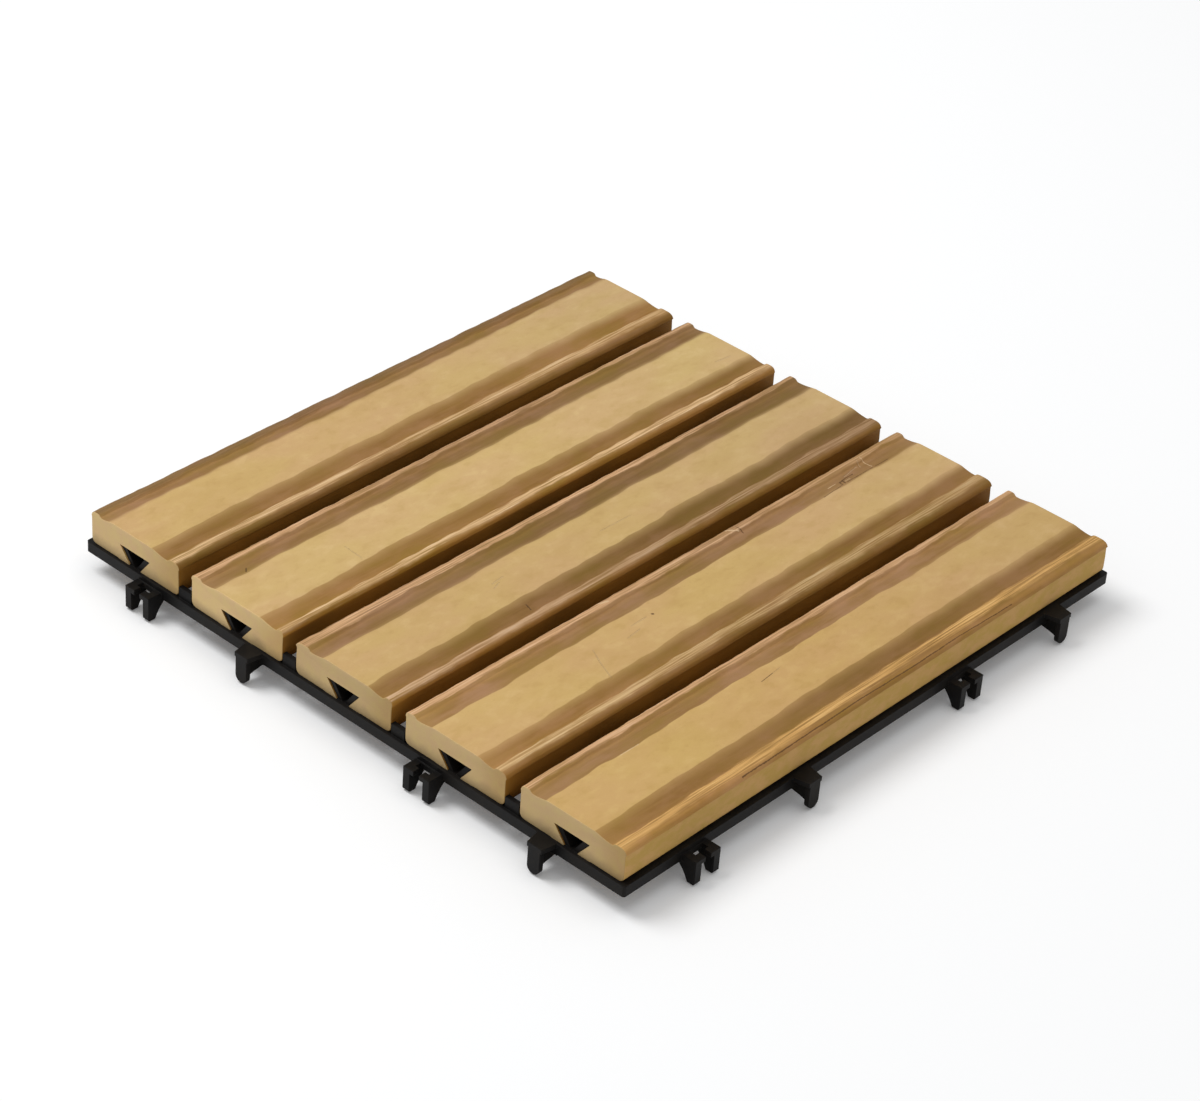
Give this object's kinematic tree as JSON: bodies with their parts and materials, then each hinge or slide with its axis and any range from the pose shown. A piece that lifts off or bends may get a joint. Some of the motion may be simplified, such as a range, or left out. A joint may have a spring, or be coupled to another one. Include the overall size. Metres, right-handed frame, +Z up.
{
  "type": "interlocking deck tile",
  "caption": "Square deck tile of grooved wood-composite slats snapped onto a black moulded base with tabs and forks along its edges that lock to the next tile.",
  "frame": {"origin": "on the ground at the middle of the tile, under its feet", "axes": "+Z up through the slats' tops, X across the slats, Y along them"},
  "size_m": [0.3168, 0.3168, 0.0295],
  "materials": {
    "slats": "matt wood-plastic composite",
    "base": "black moulded polypropylene"
  },
  "bodies": {
    "root": {"deck_base": "base", "slat_1": "slats", "slat_2": "slats", "slat_3": "slats", "slat_4": "slats", "slat_5": "slats"}
  },
  "joints": []
}
